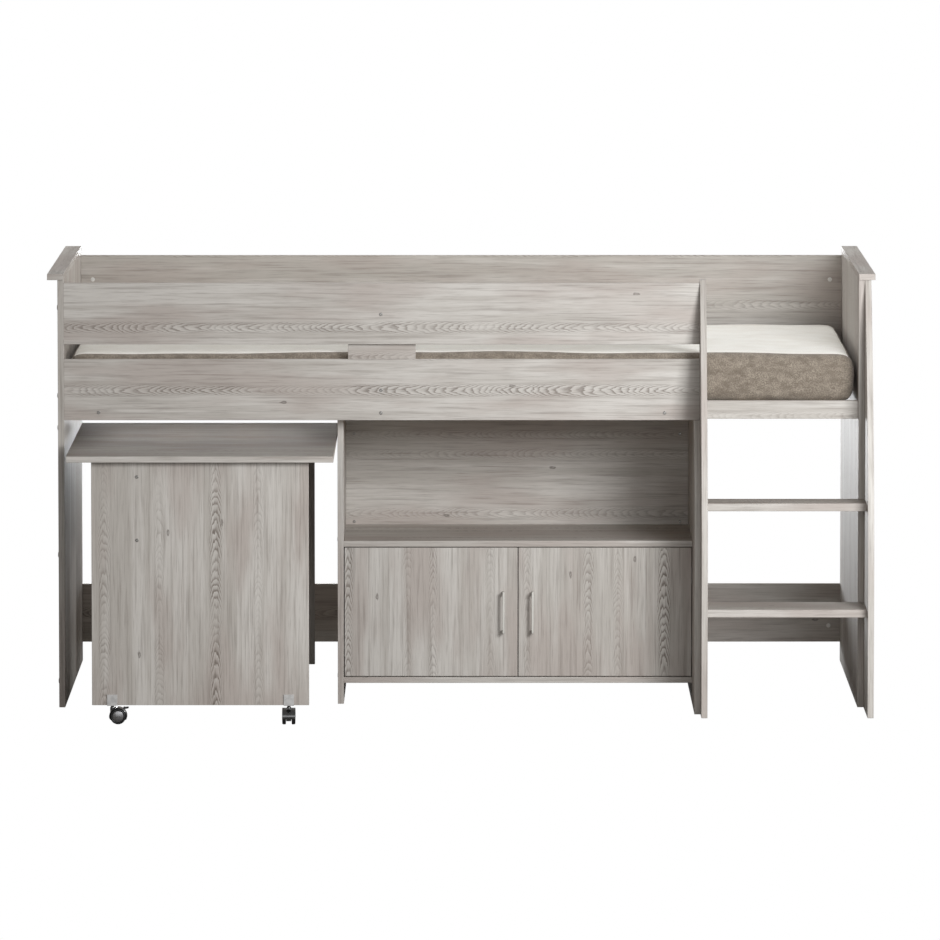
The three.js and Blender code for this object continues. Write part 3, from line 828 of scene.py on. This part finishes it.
def rounded_box(low, high, cell, radius, foot):
    """A box of even quads with rounded edges and corners, and a smaller rounding at its foot."""
    bm = bmesh.new()
    steps = [spread(low[i], high[i], cell) for i in range(3)]
    last = [len(s) - 1 for s in steps]
    inner_low = low + Vector((radius, radius, foot))
    inner_high = high - Vector((radius,) * 3)
    corners = {}

    def corner(i, j, k):
        if (i, j, k) not in corners:
            point = Vector((steps[0][i], steps[1][j], steps[2][k]))
            core = Vector(min(max(p, a), b) for p, a, b in zip(point, inner_low, inner_high))
            radii = Vector((radius, radius, foot if point.z < core.z else radius))
            out = Vector(a / b for a, b in zip(point - core, radii))
            if out.length > 0:
                point = core + Vector(a * b for a, b in zip(out.normalized(), radii))
            corners[i, j, k] = bm.verts.new(point)
        return corners[i, j, k]

    for axis in range(3):
        a, b = [n for n in range(3) if n != axis]
        for end in (0, last[axis]):
            for i in range(last[a]):
                for j in range(last[b]):
                    quad = []
                    for di, dj in ((0, 0), (1, 0), (1, 1), (0, 1)):
                        index = [0, 0, 0]
                        index[axis], index[a], index[b] = end, i + di, j + dj
                        quad.append(corner(*index))
                    bm.faces.new(quad)
    bmesh.ops.recalc_face_normals(bm, faces=bm.faces)
    bm.normal_update()
    return bm


def inflate(mesh, pressure, frames, most):
    """Blows a closed mesh up as cloth and moves its points there, by no more than the given distance."""
    trial = bpy.data.objects.new("inflating", mesh.copy())
    scene = bpy.context.scene
    scene.collection.objects.link(trial)
    cloth = trial.modifiers.new("cloth", "CLOTH")
    cloth.settings.quality = 4
    cloth.settings.mass = 0.4
    cloth.settings.tension_stiffness = 20
    cloth.settings.compression_stiffness = 20
    cloth.settings.bending_stiffness = 1.5
    cloth.settings.use_pressure = True
    cloth.settings.uniform_pressure_force = pressure
    cloth.settings.effector_weights.gravity = 0.0
    cloth.collision_settings.use_collision = False
    cloth.point_cache.frame_start, cloth.point_cache.frame_end = 1, frames
    for step in range(1, frames + 1):
        scene.frame_set(step)
    blown = trial.evaluated_get(bpy.context.evaluated_depsgraph_get()).data
    for point, swollen in zip(mesh.vertices, blown.vertices):
        move = swollen.co - point.co
        if move.length > most:
            move *= most / move.length
        point.co += move
    bpy.data.objects.remove(trial)
    scene.frame_set(1)


def settle_mattress(mesh, low, high, seam):
    """Sags the sides, wanders and sinks the seam, crowns the top and keeps the cover on the slats."""
    for point in mesh.vertices:
        where = point.co.copy()
        share = min(max((where.z - low.z) / (high.z - low.z), 0), 1)
        sag = math.sin(math.pi * share ** 0.7) ** 0.8
        outward = Vector((point.normal.x * END_SAG, point.normal.y * SIDE_SAG, 0))
        ripple = noise.noise(Vector((where.x * 7, where.y * 7, where.z * 22)))
        point.co += outward * (sag + 0.7 * ripple)
        wander = noise.noise(Vector((where.x * 5.5, where.y * 5.5, 3.1)))
        lift = math.exp(-((where.z - seam) / 0.018) ** 2)
        point.co.z = min(point.co.z + SEAM_WANDER * wander * lift, high.z + SEAM_WANDER)
        middle = math.sin(math.pi * min(max((where.x - low.x) / (high.x - low.x), 0), 1))
        point.co.z += share * (TOP_RISE + CROWN * middle)
        groove = math.exp(-((where.z - seam) / 0.004) ** 2)
        point.co -= Vector(point.normal) * SEAM_DIP * groove
        point.co.z = max(point.co.z, low.z)


def mattress():
    low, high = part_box("mattress")
    shrink = Vector((SWELL, SWELL, SWELL))
    bm = rounded_box(low + shrink, high - shrink, MATTRESS_CELL, MATTRESS_ROUND, MATTRESS_FOOT_ROUND)
    seam = high.z - SWELL - SEAM_BELOW_TOP
    for face in bm.faces:
        face.smooth = True
        drop = END_SEAM_DROP if abs(face.normal.y) < 0.2 else 0.0
        face.material_index = 0 if face.calc_center_median().z > seam - drop else 1
    mesh = bpy.data.meshes.new("mattress_cover")
    bm.to_mesh(mesh)
    bm.free()
    by_cloth = CLOTH_SHARE
    for point in mesh.vertices:
        point.co += (SWELL - by_cloth) * point.normal
    if by_cloth:
        inflate(mesh, CLOTH_PRESSURE, CLOTH_FRAMES, by_cloth)
    settle_mattress(mesh, low, high, seam + SWELL)
    mesh.update()
    obj = piece_of("mattress_cover", mesh, "bed_frame", ("knit", "plush"), ["mattress"])
    finer = obj.modifiers.new("finer", "SUBSURF")
    finer.levels = finer.render_levels = 1


# ---- Stage, light and camera ----
def glow(name, strength):
    material = bpy.data.materials.new(name)
    material.use_nodes = True
    tree = material.node_tree
    tree.nodes.remove(tree.nodes["Principled BSDF"])
    emission = tree.nodes.new("ShaderNodeEmission")
    emission.inputs["Strength"].default_value = strength
    tree.links.new(emission.outputs[0], tree.nodes["Material Output"].inputs["Surface"])
    return material


def stage_piece(name, bm, material, seen_by_camera):
    mesh = bpy.data.meshes.new(name)
    bm.to_mesh(mesh)
    bm.free()
    mesh.materials.append(material)
    obj = bpy.data.objects.new(name, mesh)
    bpy.context.scene.collection.objects.link(obj)
    obj.visible_camera = seen_by_camera
    for ray in ("diffuse", "glossy", "transmission", "volume_scatter", "shadow"):
        setattr(obj, f"visible_{ray}", not seen_by_camera)


def stage():
    """A white floor and backdrop that only the camera sees, over a grey floor that only light meets."""
    white = glow("studio_white", 1.0)
    floor = bmesh.new()
    bmesh.ops.create_grid(floor, x_segments=1, y_segments=1, size=60)
    stage_piece("floor", floor, white, True)
    dome = bmesh.new()
    bmesh.ops.create_uvsphere(dome, u_segments=48, v_segments=24, radius=60)
    stage_piece("backdrop", dome, white, True)
    g = Graph("studio_floor")
    shadowed = bmesh.new()
    bmesh.ops.create_grid(shadowed, x_segments=1, y_segments=1, size=8,
                          matrix=Matrix.Translation((0, 0, -0.001)))
    grey = g.shade(Base_Color=colour(135, 132, 128), Roughness=0.9)
    stage_piece("floor_underlay", shadowed, grey, False)


COOL = (0.965, 0.985, 1.0)
WARM = (1.0, 0.97, 0.94)


def softbox(name, location, target, width, height, watts, tint=COOL):
    data = bpy.data.lights.new(name, "AREA")
    data.shape = "RECTANGLE"
    data.size, data.size_y, data.energy, data.color = width, height, watts, tint
    lamp = bpy.data.objects.new(name, data)
    lamp.location = location
    lamp.rotation_euler = (Vector(target) - Vector(location)).to_track_quat("-Z", "Y").to_euler()
    lamp.visible_camera = False
    bpy.context.scene.collection.objects.link(lamp)


def lights():
    softbox("key", (1.55, FRONT - 2.5, 1.45), (0.3, 0, 0.6), 0.8, 0.8, 67)
    softbox("high", (1.6, FRONT - 4.4, 2.6), (0.1, 0, 0.6), 1.2, 1.0, 42)
    softbox("front_fill", (0, FRONT - 8.0, 1.6), (0, 0, 0.6), 5.0, 2.5, 74)
    softbox("behind", (0, 1.2, 2.6), (0, 0, 0.87), 2.4, 0.8, 26)
    softbox("rear_fill", (-0.9, 4.5, 0.55), (0, 0.5, 0.55), 1.6, 0.8, 60)
    desk_low, desk_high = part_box("desk_top")
    over_desk = Vector(((desk_low.x + desk_high.x) / 2, 0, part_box("slat_01")[0].z - 0.004))
    softbox("over_desk", over_desk, over_desk - Vector((0, 0, 1)), 0.5, 0.44, 0.36, WARM)
    world = bpy.data.worlds.new("studio")
    world.use_nodes = True
    world.node_tree.nodes["Background"].inputs["Strength"].default_value = 0.3
    world.node_tree.nodes["Background"].inputs["Color"].default_value = (*WARM, 1)
    bpy.context.scene.world = world


def camera():
    data = bpy.data.cameras.new("camera")
    data.lens, data.sensor_width = CAMERA_LENS, 36
    data.clip_start, data.clip_end = 0.1, 200
    eye = bpy.data.objects.new("camera", data)
    eye.location = (0, FRONT - CAMERA_DISTANCE, CAMERA_HEIGHT)
    eye.rotation_euler = (math.radians(90 - CAMERA_TILT), 0, -math.radians(CAMERA_PAN))
    bpy.context.scene.collection.objects.link(eye)
    bpy.context.scene.camera = eye
    bpy.context.scene.view_settings.view_transform = "Standard"


camera()
lights()
stage()
boards()
slatted_base()
fasteners()
doors()
castors()
mattress()
